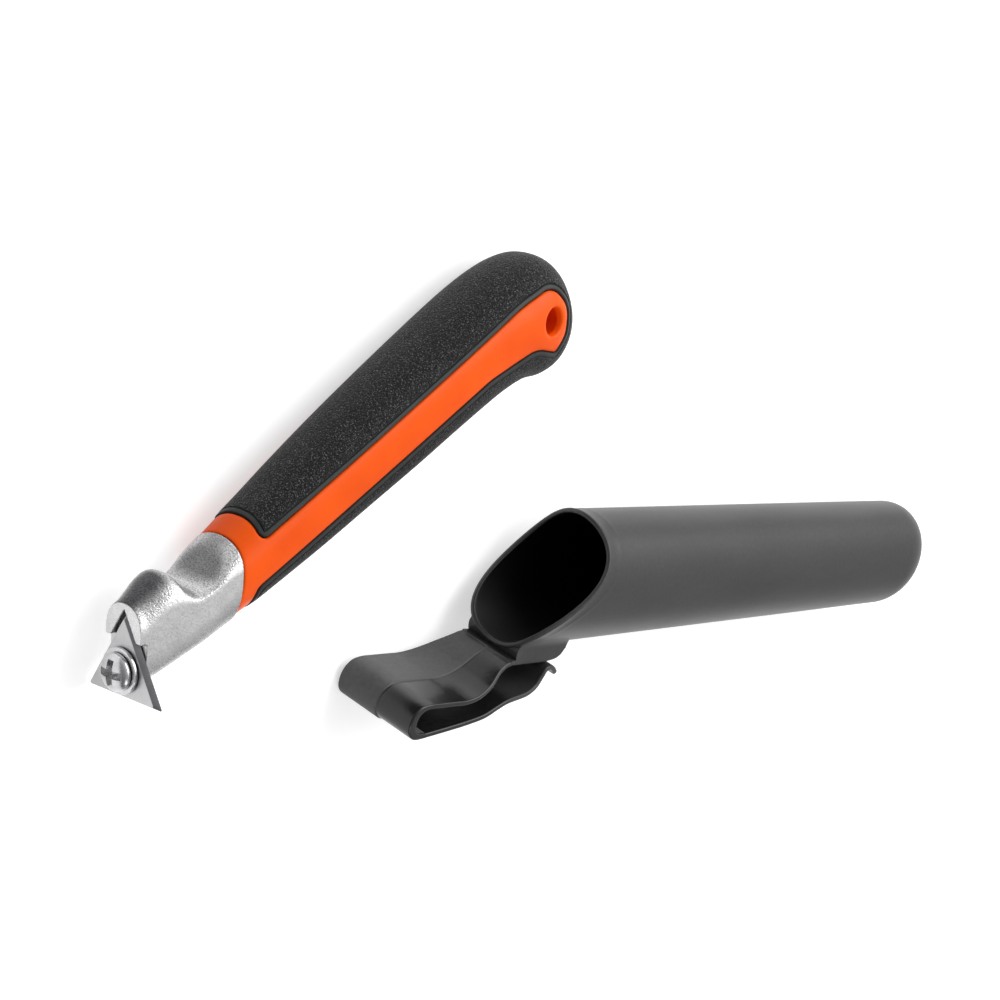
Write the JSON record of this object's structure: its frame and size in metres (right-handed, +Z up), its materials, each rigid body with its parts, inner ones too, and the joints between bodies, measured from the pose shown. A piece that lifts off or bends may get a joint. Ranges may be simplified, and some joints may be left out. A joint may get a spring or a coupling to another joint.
{
  "type": "carbide scraper",
  "caption": "Hand scraper with a triangular blade screwed to a cast head, a two-tone plastic grip with a hanging hole, and a tubular belt holster with a spring clip.",
  "frame": {"origin": "on the floor, below the middle of the bounding box of the scraper and its holster", "axes": "+X along the holster from its mouth to its closed end, +Z up from the floor; the scraper lies beside it, its grip about 37 degrees from +X, blade towards -X"},
  "size_m": [0.3184, 0.1228, 0.0341],
  "materials": {
    "orange_plastic": "smooth hard plastic with a soft sheen",
    "soft_grip": "soft grained grip plastic with smooth borders",
    "cast_head": "shot-blasted die casting",
    "carbide": "ground carbide",
    "washer": "bright plated",
    "screw": "bright plated",
    "holster_plastic": "finely textured moulding"
  },
  "bodies": {
    "handle": {"handle_core": "orange_plastic", "grip_cover": "soft_grip", "head_casting": "cast_head"},
    "blade_set": {"carbide_blade": "carbide", "blade_washer": "washer"},
    "clamp_screw": {"blade_screw": "screw"},
    "holster": {"holster_sleeve": "holster_plastic"},
    "clip_tongue": {"belt_clip_tongue": "holster_plastic"}
  },
  "joints": [
    {"name": "blade_release", "type": "slide", "parent": "handle", "child": "blade_set", "axis": [-0.9848, -0.1736, 0], "range_m": [0, 0.0025]},
    {"name": "screw_turn", "type": "hinge", "parent": "blade_set", "child": "clamp_screw", "pos_m": [-0.15338, -0.04033, 0.01295], "axis": [-0.9848, -0.1736, 0], "range_deg": [0, 1125.1]},
    {"name": "holster_lift", "type": "slide", "parent": "handle", "child": "holster", "axis": [0, 0, 1], "range_m": [0, 0.15]},
    {"name": "clip_flex", "type": "hinge", "parent": "holster", "child": "clip_tongue", "pos_m": [-0.05739, -0.05768, 0.01281], "axis": [-0.0256, 0.2147, -0.9763], "range_deg": [0, 7], "stiffness_Nm_per_rad": 2}
  ],
  "couplings": [
    {"joint": "screw_turn", "follows": "blade_release", "rad_per_m": 7854}
  ]
}
